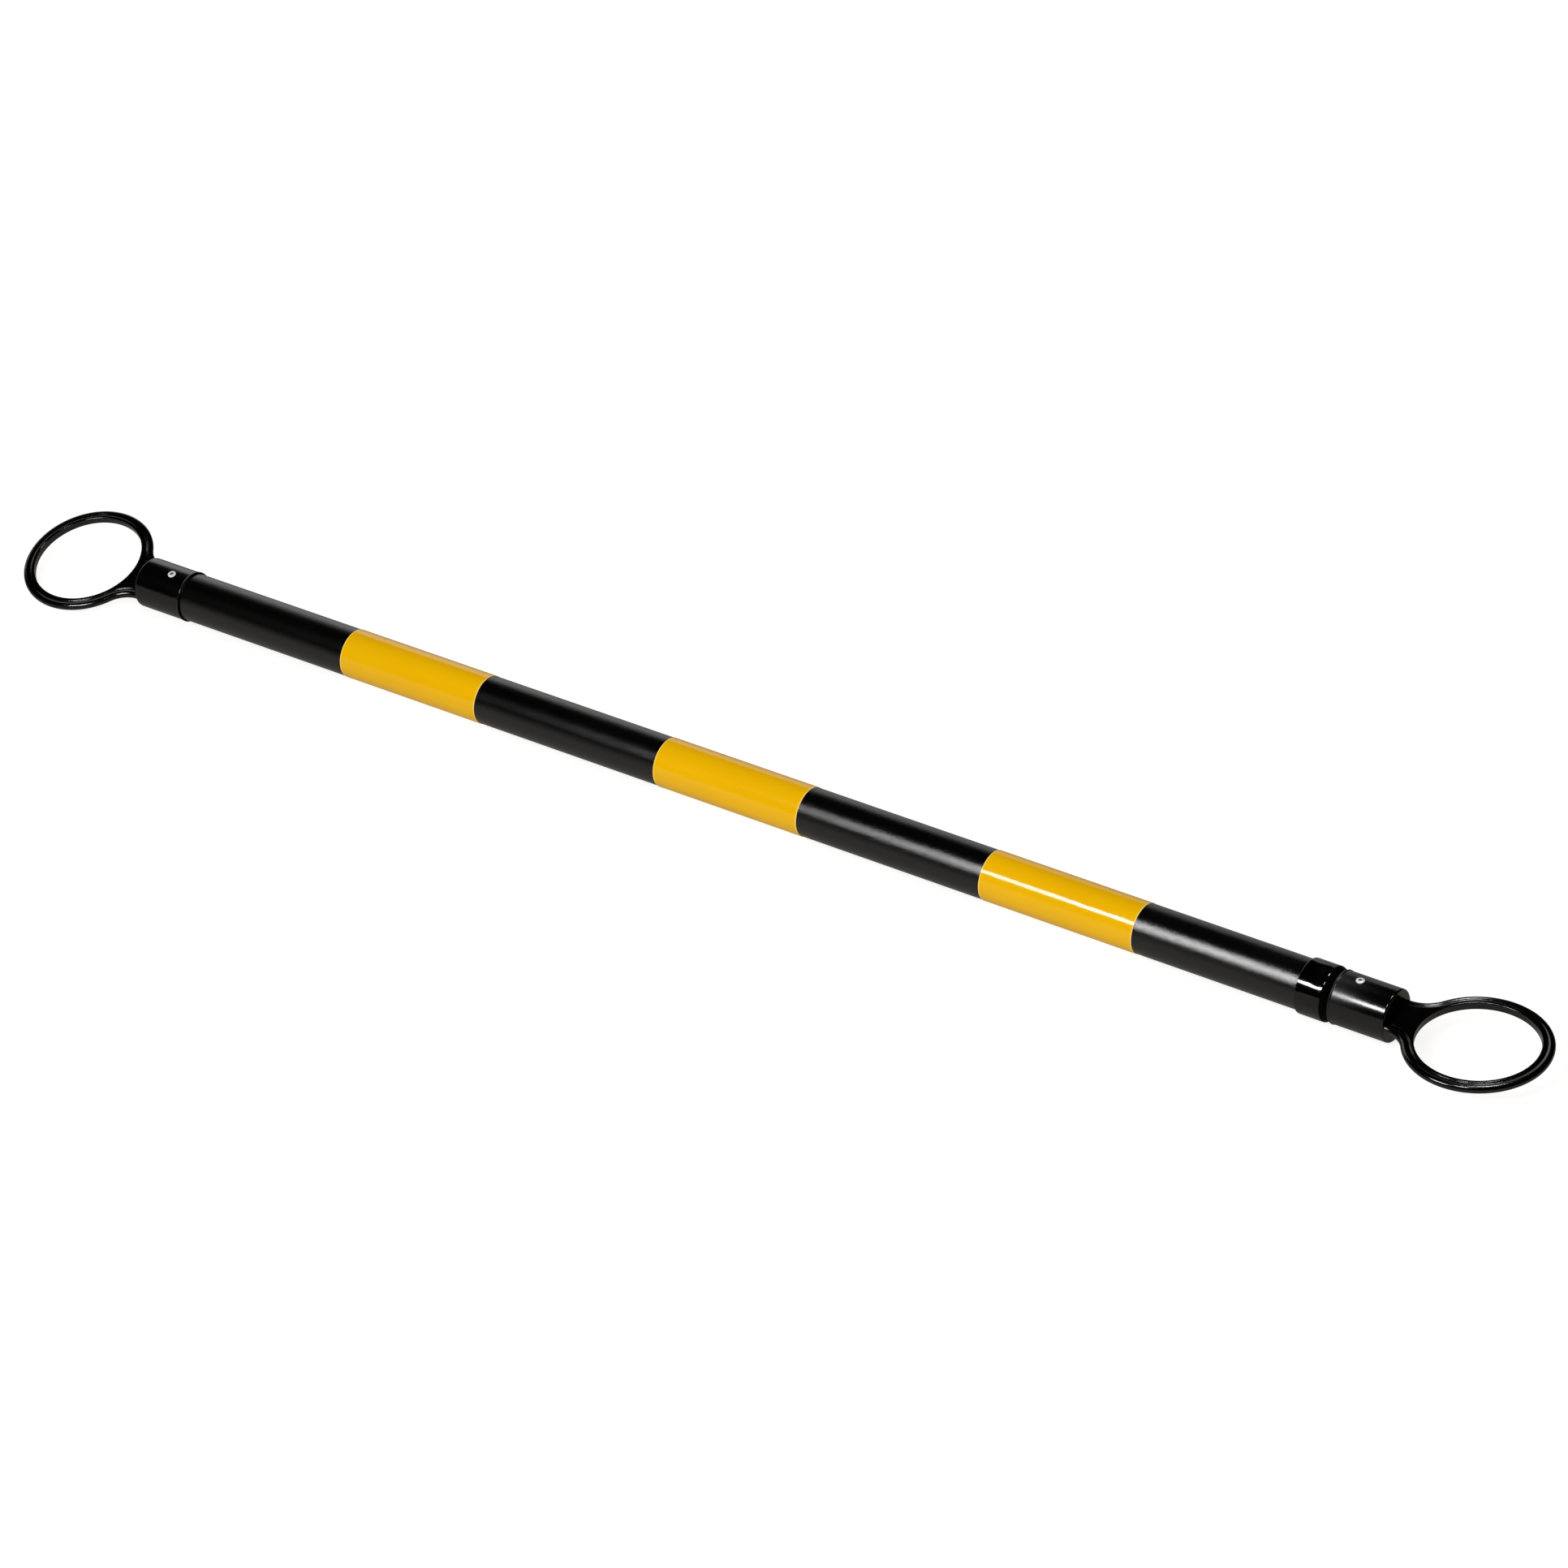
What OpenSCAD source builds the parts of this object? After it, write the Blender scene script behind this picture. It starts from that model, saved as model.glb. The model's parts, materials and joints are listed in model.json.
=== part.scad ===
// Telescopic cone bar: two tubes with a ring at each end, which drop over a pair of traffic cones.
// The bar lies pushed together on the ground, along X, with one ring leaning until its rim touches down.

/* [Tubes] */
// Outside diameter of the outer tube
outer_d = 38; // [34:0.5:50]
// Wall of the outer tube
outer_wall = 1.8; // [1.2:0.1:2.6]
// Length of the outer tube
outer_len = 1068; // [850:1:1600]
// Gap all round between the outer and the inner tube
tube_gap = 1.2; // [0.8:0.1:3]
// Wall of the inner tube
inner_wall = 1.8; // [1.2:0.1:3]
// Length left free behind the guide when the bar is pushed together
back_room = 104; // [2:1:300]

/* [Ring ends] */
// Diameter of the hole that goes over the cone
hole_d = 88; // [76:1:120]
// Width of the ring, from the hole to its rim
ring_w = 9.3; // [7:0.1:14]
// Thickness of the ring and its web
ring_t = 6; // [5.6:0.2:9]
// How far the rounded rim bulges out from the edges of the flat faces
rim_bulge = 2.6; // [0.5:0.1:2.6]
// Radius on the edges of the hole
hole_edge = 0.8; // [0.3:0.1:1.4]
// Length of the web, from the ring's rim to the closed end of the cap
web_len = 10.7; // [3:0.1:25]
// How far the web stays inside the cap's outline on each side
web_inset = 0.8; // [0.2:0.1:4]
// How far the web's hollow sides bite into the ring's rim
web_bite = 0.05; // [0.02:0.01:0.2]

/* [Caps] */
// Length of the cap, from its closed end to its mouth
cap_len = 46; // [40:1:70]
// Wall of the cap over the outer tube
cap_wall = 0.75; // [0.6:0.05:1.6]
// Thickness of the cap's closed end
cap_end = 6; // [3:0.5:10]
// Radius on the edge of the closed end
cap_edge = 1.4; // [0.5:0.1:2.5]
// Length of the lip at the mouth
lip_len = 2.4; // [2:0.2:8]
// Height of the lip
lip_h = 0.6; // [0.2:0.05:0.9]
// Radius on the edges of the lip, at most its height
lip_edge = 0.5; // [0.05:0.05:0.9]

/* [Collar] */
// Length of the collar on the outer tube
collar_len = 18.5; // [12:0.5:40]
// Wall of the collar
collar_wall = 1.8; // [1.3:0.1:3]
// Radius on the collar's back edge
collar_edge = 0.7; // [0.2:0.1:1.2]
// Length of the nose in front of the tube's end
nose_len = 6; // [5:0.5:12]
// Length of the rounded stretch of the nose
nose_curve = 4.5; // [3.2:0.1:8]
// Width of the flat ring at the front of the nose
nose_flat = 1.55; // [0.5:0.05:3]

/* [Guide] */
// Length of the bush that runs inside the outer tube
bush_len = 60; // [20:1:90]
// End play of the bush
bush_play = 0.3; // [0.2:0.1:1]
// Length of the plug inside the inner tube
plug_len = 30; // [15:1:60]
// Wall of the hollow plug
plug_wall = 3; // [2:0.5:6]
// Thickness of the flange that keeps the bush on the plug
flange_t = 3; // [2:0.5:8]

/* [Bands] */
// Length of a yellow band
band_len = 129.5; // [60:0.5:140]
// Distance from the mouth of the fixed cap to the first band
band_first = 160; // [20:1:200]
// Distance from the last band to the collar
band_last = 134; // [20:0.5:200]
// How far the middle band sits off the middle, towards the collar
band_shift = 4; // [-20:0.5:20]
// Thickness of the reflective film
film_t = 0.3; // [0.15:0.05:0.6]
// Thickness of the glue under the film
film_glue = 0.05; // [0.02:0.01:0.1]

/* [Rivets] */
// Diameter of the rivet hole
rivet_d = 4; // [3:0.1:4.8]
// Diameter of the rivet's head
rivet_head_d = 6.4; // [5.8:0.1:8]
// Height of the rivet's domed head
rivet_head_h = 1.1; // [0.8:0.1:1.6]
// Height of the head at its rim
rivet_rim_h = 0.4; // [0.2:0.05:0.6]
// Diameter of the swollen blind end
rivet_bulb_d = 5.8; // [5.2:0.1:7]
// Length of the swollen blind end
rivet_bulb_h = 2.4; // [1.5:0.1:4]
// Diameter of the broken stem
stem_d = 2.1; // [1.4:0.1:2.3]
// How far the broken stem ends below the top of the head
stem_sunk = 0.5; // [0.1:0.1:0.7]
// Distance of the rivet from the mouth of its cap
rivet_from_mouth = 17; // [8:0.5:30]

/* [Fits] */
// Gap between pieces that are fixed to each other
seat_gap = 0.05; // [0.02:0.01:0.1]
// Gap between pieces that slide or turn on each other
slide_gap = 0.3; // [0.2:0.05:0.5]
// Gap between the collar's nose and the sliding cap when the bar is pushed together
closed_gap = 0.5; // [0.3:0.1:4]

/* [Pose] */
// Lean of the sliding ring, towards the side that the fixed ring leans to
sliding_lean = 5.8; // [-15:0.1:15]

/* [Hidden] */
$fn = 96;

// Radii
outer_r = outer_d / 2;
outer_bore_r = outer_r - outer_wall;
inner_r = outer_bore_r - tube_gap;
inner_bore_r = inner_r - inner_wall;
hole_r = hole_d / 2;
ring_r = hole_r + ring_w;
half_t = ring_t / 2;
rim_round = (half_t ^ 2 + rim_bulge ^ 2) / (2 * rim_bulge);
cap_r = outer_r + seat_gap + cap_wall;
lip_r = cap_r + lip_h;
lip_round = min(lip_edge, lip_h);
collar_r = outer_r + seat_gap + collar_wall;
collar_bore_r = inner_r + slide_gap;
nose_drop = collar_r - collar_bore_r - nose_flat;
nose_round = (nose_drop ^ 2 + nose_curve ^ 2) / (2 * nose_drop);
plug_r = inner_bore_r - seat_gap;
bush_r = outer_bore_r - slide_gap;
film_r = outer_r + film_glue;
cut = 1;

// The curve between ring and cap: it runs off the rim of the ring and out along the cap
neck_len = ring_r + web_len;
web_half = cap_r - web_inset;
bite_r = ring_r - web_bite;
web_round = (neck_len ^ 2 + web_half ^ 2 - bite_r ^ 2) / (2 * (bite_r - web_half));
web_centre = [neck_len, web_half + web_round];
web_touch = web_centre * bite_r / (bite_r + web_round);

// Places along the bar, worked out from the centre of the fixed ring's hole
mouth = neck_len + cap_len;
outer_start = neck_len + cap_end;
outer_stop = outer_start + outer_len;
collar_start = outer_stop - collar_len;
nose_stop = outer_stop + nose_len;
sliding_mouth = nose_stop + closed_gap;
inner_stop = sliding_mouth + cap_len - cap_end;
plug_start = outer_start + back_room;
bush_start = plug_start + flange_t + bush_play;
inner_start = bush_start + bush_len + bush_play;
inner_len = inner_stop - inner_start;
band_1_at = mouth + band_first;
band_3_at = collar_start - band_last - band_len;
band_2_at = (band_1_at + band_3_at) / 2 + band_shift;
span = sliding_mouth + mouth;

// The frame's origin is on the ground, halfway between the rings, and the fixed ring leans until
// its rounded rim, or the corner of a flatter one, touches down
axis_h = max(collar_r, lip_r);
rim_corner = [ring_r - rim_bulge, half_t];
rolling_lean = asin((axis_h - rim_round) / (ring_r - rim_round));
corner_lean = asin(axis_h / norm(rim_corner)) - atan2(rim_corner.y, rim_corner.x);
fixed_lean = 90 - rolling_lean < asin(half_t / rim_round) ? rolling_lean : corner_lean;
ring_x = -span / 2;

black = [0.06, 0.06, 0.065];
glossy_black = [0.03, 0.03, 0.035];
nylon = [0.85, 0.84, 0.8];
yellow = [0.93, 0.68, 0.04];
aluminium = [0.78, 0.79, 0.8];
steel = [0.45, 0.45, 0.46];

// A profile of radius and length, turned about the bar's axis from a place along the bar
module turned(from) {
    translate([ring_x + from, 0, axis_h]) rotate([0, 90, 0]) rotate_extrude() children();
}

module tube_profile(r, bore, length) {
    translate([bore, 0]) square([r - bore, length]);
}

// What a fillet takes off a square corner at the origin
module corner_waste(f) {
    difference() {
        translate([-cut, -cut]) square(f + cut);
        translate([f, f]) circle(f);
    }
}

// Places a fixed or a sliding ring end, which is drawn about its hole with the cap towards +X
module at_fixed_end() {
    translate([ring_x, 0, axis_h]) rotate([fixed_lean, 0, 0]) children();
}

module at_sliding_end() {
    translate([-ring_x, 0, axis_h]) rotate([sliding_lean, 0, 0]) mirror([1, 0, 0]) children();
}

// What the bulging rim leaves of a square edge that is reached at this radius, seen from inside the plate
module rim_waste() {
    difference() {
        translate([-rim_round, -ring_t]) square([rim_round + cut, 2 * ring_t]);
        translate([-rim_round, 0]) circle(rim_round);
    }
}

// Section of the plate between the hole and the rim
module ring_profile() {
    difference() {
        translate([hole_r, -half_t]) square([ring_w, ring_t]);
        translate([ring_r, 0]) rim_waste();
        for (side = [0, 1]) mirror([0, side]) translate([hole_r, -half_t]) corner_waste(hole_edge);
    }
}

// Takes the web's side to a hollow curve with the same bulging edge as the rim
module web_side_waste() {
    translate(web_centre) rotate_extrude() {
        translate([web_round, 0]) mirror([1, 0]) rim_waste();
        translate([0, -ring_t]) square([web_round, 2 * ring_t]);
    }
}

// The part of the plate that runs from the middle of the ring to the cap
module web() {
    back = neck_len + cap_end / 2;
    side = web_touch.y;
    difference() {
        translate([0, 0, -half_t]) linear_extrude(ring_t) difference() {
            polygon([[0, 0], web_touch, [back, side], [back, -side], [web_touch.x, -side]]);
            circle(hole_r + ring_w / 2);
        }
        for (half = [0, 1]) mirror([0, half, 0]) web_side_waste();
    }
}

module cap_profile(socket_r) {
    difference() {
        union() {
            square([cap_r, cap_len]);
            translate([0, cap_len - lip_len]) square([lip_r, lip_len]);
        }
        translate([cap_r, 0]) mirror([1, 0]) corner_waste(cap_edge);
        translate([lip_r, cap_len]) mirror([1, 0]) mirror([0, 1]) corner_waste(lip_round);
        translate([lip_r, cap_len - lip_len]) mirror([1, 0]) corner_waste(lip_round);
        translate([0, cap_end]) square([socket_r, cap_len]);
    }
}

module rivet_hole(d) {
    translate([mouth - rivet_from_mouth, 0, 0]) cylinder(h = lip_r + cut, d = d);
}

module ring_cap(socket_r) {
    difference() {
        union() {
            rotate_extrude() ring_profile();
            web();
            translate([neck_len, 0, 0]) rotate([0, 90, 0]) rotate_extrude() cap_profile(socket_r);
        }
        rivet_hole(rivet_d);
    }
}

// A round bar along X, as wide as the wall that a rivet sits on
module wall_core(length, r) {
    rotate([0, 90, 0]) cylinder(h = length + 2 * cut, r = r, center = true);
}

// A set blind rivet through a cap and a tube, with its head on the cap and its swollen end inside the tube
module rivet(tube_bore_r) {
    dome = rivet_head_h - rivet_rim_h;
    dome_r = ((rivet_head_d / 2) ^ 2 + dome ^ 2) / (2 * dome);
    shank_foot = tube_bore_r - rivet_bulb_h / 2;
    difference() {
        translate([mouth - rivet_from_mouth, 0, 0]) {
            difference() {
                intersection() {
                    translate([0, 0, cap_r + rivet_head_h - dome_r]) sphere(dome_r);
                    translate([0, 0, cap_r - cut]) cylinder(h = rivet_head_h + cut, d = rivet_head_d);
                }
                wall_core(rivet_head_d, cap_r + seat_gap);
            }
            translate([0, 0, shank_foot])
                cylinder(h = cap_r + rivet_rim_h - shank_foot, d = rivet_d - 2 * seat_gap);
            intersection() {
                translate([0, 0, tube_bore_r - rivet_bulb_h]) cylinder(h = rivet_bulb_h, d = rivet_bulb_d);
                wall_core(rivet_bulb_d, tube_bore_r - seat_gap);
            }
        }
        rivet_hole(stem_d + 2 * seat_gap);
    }
}

// The stem that pulled the rivet tight and broke off inside its head
module rivet_stem(tube_bore_r) {
    foot = tube_bore_r - rivet_bulb_h;
    translate([mouth - rivet_from_mouth, 0, foot]) {
        cylinder(h = cap_r + rivet_head_h - stem_sunk - foot, d = stem_d);
        intersection() {
            sphere(d = rivet_d);
            translate([0, 0, -rivet_d]) cylinder(h = rivet_d, d = rivet_d);
        }
    }
}

module outer_tube() {
    color(black) difference() {
        turned(outer_start) tube_profile(outer_r, outer_bore_r, outer_len);
        at_fixed_end() rivet_hole(rivet_d);
    }
}

module inner_tube() {
    color(black) difference() {
        turned(inner_start) tube_profile(inner_r, inner_bore_r, inner_len);
        at_sliding_end() rivet_hole(rivet_d);
    }
}

module fixed_ring_cap() {
    color(glossy_black) at_fixed_end() ring_cap(outer_r + seat_gap);
}

module sliding_ring_cap() {
    color(glossy_black) at_sliding_end() ring_cap(inner_r + seat_gap);
}

module fixed_rivet() {
    color(aluminium) at_fixed_end() rivet(outer_bore_r);
}

module sliding_rivet() {
    color(aluminium) at_sliding_end() rivet(inner_bore_r);
}

module fixed_rivet_stem() {
    color(steel) at_fixed_end() rivet_stem(outer_bore_r);
}

module sliding_rivet_stem() {
    color(steel) at_sliding_end() rivet_stem(inner_bore_r);
}

// Sleeve over the tube's end, with a rounded nose that closes in on the inner tube
module end_collar() {
    length = collar_len + nose_len;
    color(glossy_black) turned(collar_start) difference() {
        square([collar_r, length]);
        square([outer_r + seat_gap, collar_len]);
        square([collar_bore_r, length]);
        translate([collar_r, 0]) mirror([1, 0]) corner_waste(collar_edge);
        translate([collar_r - nose_round, length - nose_curve]) difference() {
            square([nose_round + cut, nose_curve + cut]);
            circle(nose_round);
        }
    }
}

module band(at) {
    color(yellow) turned(at) tube_profile(film_r + film_t, film_r, band_len);
}

module guide_bush() {
    color(nylon) turned(bush_start) tube_profile(bush_r, plug_r + slide_gap, bush_len);
}

// Hollow plug in the inner tube's end; the bush turns on it between the tube and the flange
module inner_end_plug() {
    length = inner_start + plug_len - plug_start;
    color(nylon) turned(plug_start) difference() {
        union() {
            square([plug_r, length]);
            square([inner_r, flange_t]);
        }
        translate([0, flange_t]) square([plug_r - plug_wall, length]);
    }
}

outer_tube();
fixed_ring_cap();
fixed_rivet();
fixed_rivet_stem();
end_collar();
band(band_1_at);  // band_1
band(band_2_at);  // band_2
band(band_3_at);  // band_3
guide_bush();
inner_tube();
inner_end_plug();
sliding_ring_cap();
sliding_rivet();
sliding_rivet_stem();
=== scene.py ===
import json
import math

import bmesh
import bpy
from mathutils import Matrix, Vector, noise

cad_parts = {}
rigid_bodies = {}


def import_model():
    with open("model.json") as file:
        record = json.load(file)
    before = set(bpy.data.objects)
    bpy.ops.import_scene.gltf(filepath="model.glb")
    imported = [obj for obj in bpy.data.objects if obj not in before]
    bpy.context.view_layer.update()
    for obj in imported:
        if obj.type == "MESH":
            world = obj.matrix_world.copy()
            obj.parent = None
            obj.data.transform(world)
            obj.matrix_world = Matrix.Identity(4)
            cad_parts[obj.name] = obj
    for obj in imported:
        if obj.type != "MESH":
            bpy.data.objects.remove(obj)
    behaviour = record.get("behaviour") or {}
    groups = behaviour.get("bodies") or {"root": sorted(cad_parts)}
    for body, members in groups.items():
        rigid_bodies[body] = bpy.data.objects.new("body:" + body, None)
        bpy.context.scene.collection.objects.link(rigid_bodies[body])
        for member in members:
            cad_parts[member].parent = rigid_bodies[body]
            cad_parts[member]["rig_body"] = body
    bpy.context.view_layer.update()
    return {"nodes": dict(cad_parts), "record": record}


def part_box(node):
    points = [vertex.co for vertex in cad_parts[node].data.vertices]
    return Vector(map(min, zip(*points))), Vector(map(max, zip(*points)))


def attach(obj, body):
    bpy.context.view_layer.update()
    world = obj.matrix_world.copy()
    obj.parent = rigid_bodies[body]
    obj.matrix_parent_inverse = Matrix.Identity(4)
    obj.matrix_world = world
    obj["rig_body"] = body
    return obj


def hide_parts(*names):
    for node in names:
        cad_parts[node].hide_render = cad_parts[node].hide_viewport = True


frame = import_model()
print("frame loaded")

# The bar's axis runs along X, and the collar is the thickest round piece on it
collarLow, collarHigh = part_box("end_collar")
axisHeight = (collarLow.z + collarHigh.z) / 2
turnSteps = 144
alongX = Vector((1, 0, 0))
up = Vector((0, 0, 1))


# Camera

view = {
    "aim": (0.0252, 0.0290, 0.0164),
    "distance": 4.3639,
    "azimuth": 34.855,
    "elevation": 29.854,
    "lens": 134.896,
}


def placeCamera():
    azimuth = math.radians(view["azimuth"])
    elevation = math.radians(view["elevation"])
    flat = math.cos(elevation)
    forward = Vector((-math.sin(azimuth) * flat, math.cos(azimuth) * flat, -math.sin(elevation)))
    data = bpy.data.cameras.new("camera")
    data.lens = view["lens"]
    camera = bpy.data.objects.new("camera", data)
    camera.location = Vector(view["aim"]) - forward * view["distance"]
    camera.rotation_euler = forward.to_track_quat("-Z", "Y").to_euler()
    bpy.context.scene.collection.objects.link(camera)
    bpy.context.scene.camera = camera


# Shader helpers

bumpFilter = 0.02  # narrow, so that grain finer than a pixel still spreads the light
speckCore = 0.6  # share of a speck's size that is fully covered
speckFade = 0.1  # share of the chosen cells that are only partly covered


class Wire:
    def __init__(self, paint, socket):
        self.paint = paint
        self.socket = socket

    def calc(self, operation, left, right):
        return self.paint.node("ShaderNodeMath", {"operation": operation}, {0: left, 1: right})

    def __add__(self, other):
        return self.calc("ADD", self, other)

    def __radd__(self, other):
        return self.calc("ADD", other, self)

    def __sub__(self, other):
        return self.calc("SUBTRACT", self, other)

    def __rsub__(self, other):
        return self.calc("SUBTRACT", other, self)

    def __mul__(self, other):
        return self.calc("MULTIPLY", self, other)

    def __rmul__(self, other):
        return self.calc("MULTIPLY", other, self)


class Paint:
    def __init__(self, tree):
        self.tree = tree
        self.tree.nodes.clear()

    def node(self, kind, settings, sockets, output=0):
        made = self.tree.nodes.new(kind)
        for name, value in settings.items():
            setattr(made, name, value)
        for name, value in sockets.items():
            if isinstance(value, Wire):
                self.tree.links.new(value.socket, made.inputs[name])
            else:
                made.inputs[name].default_value = value
        return Wire(self, made.outputs[output]) if made.outputs else made

    def point(self):
        return self.node("ShaderNodeTexCoord", {}, {}, "Object")

    def axis(self, vector, letter):
        return self.node("ShaderNodeSeparateXYZ", {}, {"Vector": vector}, letter)

    # size is cells to the metre, as one number or as one for each axis
    def grain(self, vector, size, detail):
        if isinstance(size, tuple):
            vector = self.node("ShaderNodeVectorMath", {"operation": "MULTIPLY"}, {0: vector, 1: size})
            size = 1
        sockets = {"Vector": vector, "Scale": size, "Detail": detail}
        return self.node("ShaderNodeTexNoise", {}, sockets, "Fac")

    def ramp(self, value, low, high):
        sockets = {"Value": value, "From Min": low, "From Max": high}
        return self.node("ShaderNodeMapRange", {"interpolation_type": "SMOOTHSTEP"}, sockets)

    def mix(self, factor, first, second):
        return self.node("ShaderNodeMix", {"data_type": "RGBA"}, {0: factor, 6: first, 7: second}, 2)

    def specks(self, vector, cells, size, share):
        sockets = {"Vector": vector, "Scale": cells}
        distance = self.node("ShaderNodeTexVoronoi", {}, sockets, "Distance")
        chance = self.node("ShaderNodeTexVoronoi", {}, sockets, "Color")
        lucky = self.node("ShaderNodeSeparateColor", {}, {"Color": chance}, "Red")
        chosen = self.ramp(lucky, 1 - share, 1 - share * (1 - speckFade))
        return self.ramp(distance, size, size * speckCore) * chosen

    def bump(self, height, depth):
        sockets = {"Height": height, "Distance": depth, "Filter Width": bumpFilter}
        return self.node("ShaderNodeBump", {}, sockets)

    def rays(self):
        kinds = ("Is Camera Ray", "Is Glossy Ray", "Is Transmission Ray")
        camera, glossy, through = [self.node("ShaderNodeLightPath", {}, {}, kind) for kind in kinds]
        return camera, glossy, through, 1 - camera - glossy - through

    def coat(self, sockets):
        return self.node("ShaderNodeBsdfPrincipled", {}, sockets)

    def blend(self, factor, first, second):
        return self.node("ShaderNodeMixShader", {}, {0: factor, 1: first, 2: second})

    def finish(self, shader):
        self.node("ShaderNodeOutputMaterial", {}, {"Surface": shader})

    def surface(self, sockets):
        self.finish(self.coat(sockets))


def newPaint(name):
    material = bpy.data.materials.new(name)
    material.use_nodes = True
    return material, Paint(material.node_tree)


def grey(level):
    return (level, level, level, 1)


def around(middle, value, swing):
    return middle + (value - 0.5) * swing


# Finishes: specks are cells to the metre, size in a cell and share of the cells

satin = {
    "dark": 0.0003, "pale": 0.0009, "cloudSize": 22,
    "dust": 0.02, "dustShare": 0.5, "specks": (210, 0.05, 0.08),
    "roughness": 0.16, "cloudSwing": 0.06, "ior": 1.65,
    "grainSize": (2900, 13500, 13500), "grainDepth": 0.0000213,
    "dieSize": (1.5, 620, 620), "dieHeight": 0.8,
    "rubbedSize": (14, 900, 900), "rubbedFrom": (0.60, 0.78),
    "rubbedShare": 0.25, "rubbedHeight": 3, "rubbedRoughness": 0.15,
}


def satinTube(name, scuffs):
    material, paint = newPaint(name)
    point = paint.point()
    fine = paint.grain(point, satin["grainSize"], detail=0)
    clouds = paint.grain(point, satin["cloudSize"], detail=4)
    dieLines = paint.grain(point, satin["dieSize"], detail=3)
    rubbed = paint.grain(point, satin["rubbedSize"], detail=2)
    rubbed = paint.ramp(rubbed, *satin["rubbedFrom"]) * scuffs
    dust = paint.specks(point, *satin["specks"])
    tone = paint.mix(clouds, grey(satin["dark"]), grey(satin["pale"]))
    dusty = dust * satin["dustShare"] + rubbed * satin["rubbedShare"]
    roughness = around(satin["roughness"], clouds, satin["cloudSwing"])
    height = fine + dieLines * satin["dieHeight"] - rubbed * satin["rubbedHeight"]
    paint.surface({
        "Base Color": paint.mix(dusty, tone, grey(satin["dust"])),
        "Roughness": roughness + rubbed * satin["rubbedRoughness"],
        "IOR": satin["ior"],
        "Normal": paint.bump(height, satin["grainDepth"]),
    })
    return material


moulded = {
    "dark": 0.0003, "pale": 0.0014, "cloudSize": 30,
    "dust": 0.06, "dustRoughness": 0.3, "specks": (260, 0.06, 0.10),
    "roughness": 0.13, "cloudSwing": 0.08, "ior": 1.56,
    "peelSize": 250, "skinSize": 6000, "skinShare": 0.14, "depth": 0.00006,
    "wornLength": 0.042, "wornRoughness": 0.18,
    "lipRoughness": 0.40, "lipSwing": 0.2, "lipIor": 1.10, "lipFade": 0.0005,
}


def mouldedBlack(name, mouthX, crestX, inward, wear):
    material, paint = newPaint(name)
    point = paint.point()
    x = paint.axis(point, "X")
    worn = paint.ramp(x, mouthX + inward * moulded["wornLength"], mouthX) * wear
    peel = paint.grain(point, moulded["peelSize"], detail=1)
    skin = paint.grain(point, moulded["skinSize"], detail=0)
    clouds = paint.grain(point, moulded["cloudSize"], detail=4)
    dust = paint.specks(point, *moulded["specks"])
    tone = paint.mix(clouds, grey(moulded["dark"]), grey(moulded["pale"]))
    tone = paint.mix(dust, tone, grey(moulded["dust"]))
    roughness = around(moulded["roughness"], clouds, moulded["cloudSwing"])
    roughness = roughness + dust * moulded["dustRoughness"] + worn * moulded["wornRoughness"]
    skinned = paint.coat({
        "Base Color": tone,
        "Roughness": roughness,
        "IOR": moulded["ior"],
        "Normal": paint.bump(peel + skin * moulded["skinShare"], moulded["depth"]),
    })

    # painted shade: from its crest to the tube the lip gets a dull, weakly reflecting finish that stands in
    # for the shade at the mouth
    dull = paint.coat({
        "Base Color": tone,
        "Roughness": around(moulded["lipRoughness"], clouds, moulded["lipSwing"]),
        "IOR": moulded["lipIor"],
    })
    pastCrest = paint.ramp(x, crestX, crestX - inward * moulded["lipFade"])
    paint.finish(paint.blend(pastCrest, skinned, dull))
    return material


vinyl = {
    "dark": 0.0003, "pale": 0.0012, "dust": 0.05, "dustRoughness": 0.3, "specks": (300, 0.06, 0.08),
    "smearSize": (160, 60, 60), "smearFrom": (0.5, 0.75), "smearRoughness": 0.08,
    "roughness": 0.07, "ior": 1.54, "waveSize": 75, "waveDepth": 0.0006,
    "noseRoughness": 0.40, "noseSwing": 0.2, "noseIor": 1.10, "noseFade": 0.0005,
}


def glossyVinyl(name, noseStart):
    material, paint = newPaint(name)
    point = paint.point()
    waves = paint.grain(point, vinyl["waveSize"], detail=1)
    smears = paint.grain(point, vinyl["smearSize"], detail=3)
    dust = paint.specks(point, *vinyl["specks"])
    tone = paint.mix(smears, grey(vinyl["dark"]), grey(vinyl["pale"]))
    tone = paint.mix(dust, tone, grey(vinyl["dust"]))
    roughness = vinyl["roughness"] + paint.ramp(smears, *vinyl["smearFrom"]) * vinyl["smearRoughness"]
    sleeve = paint.coat({
        "Base Color": tone,
        "Roughness": roughness + dust * vinyl["dustRoughness"],
        "IOR": vinyl["ior"],
        "Normal": paint.bump(waves, vinyl["waveDepth"]),
    })
    nose = paint.coat({
        "Base Color": tone,
        "Roughness": around(vinyl["noseRoughness"], smears, vinyl["noseSwing"]),
        "IOR": vinyl["noseIor"],
    })
    inNose = paint.ramp(paint.axis(point, "X"), noseStart, noseStart + vinyl["noseFade"])
    paint.finish(paint.blend(inNose, sleeve, nose))
    return material


film = {
    "deep": (0.74, 0.392, 0.0008, 1),
    "bright": (0.84, 0.472, 0.0012, 1),
    # pale colour at the cut ends: partly the film's own pale cut edge, partly a painted highlight on that
    # edge
    "edge": (0.98, 0.66, 0.16, 1),
    "edgeWidth": 0.0011,
    "edgeCore": 0.4,
    "roughness": 0.07,
    "ior": 1.49,
    "beadSize": (4000, 8000, 8000),
    "beadShare": 0.3,
    "beadDepth": 0.0000105,
    "cloudSize": (18, 60, 60),
    "cloudSwing": 0.04,
    "cloudHeight": 1.5,
}


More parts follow.
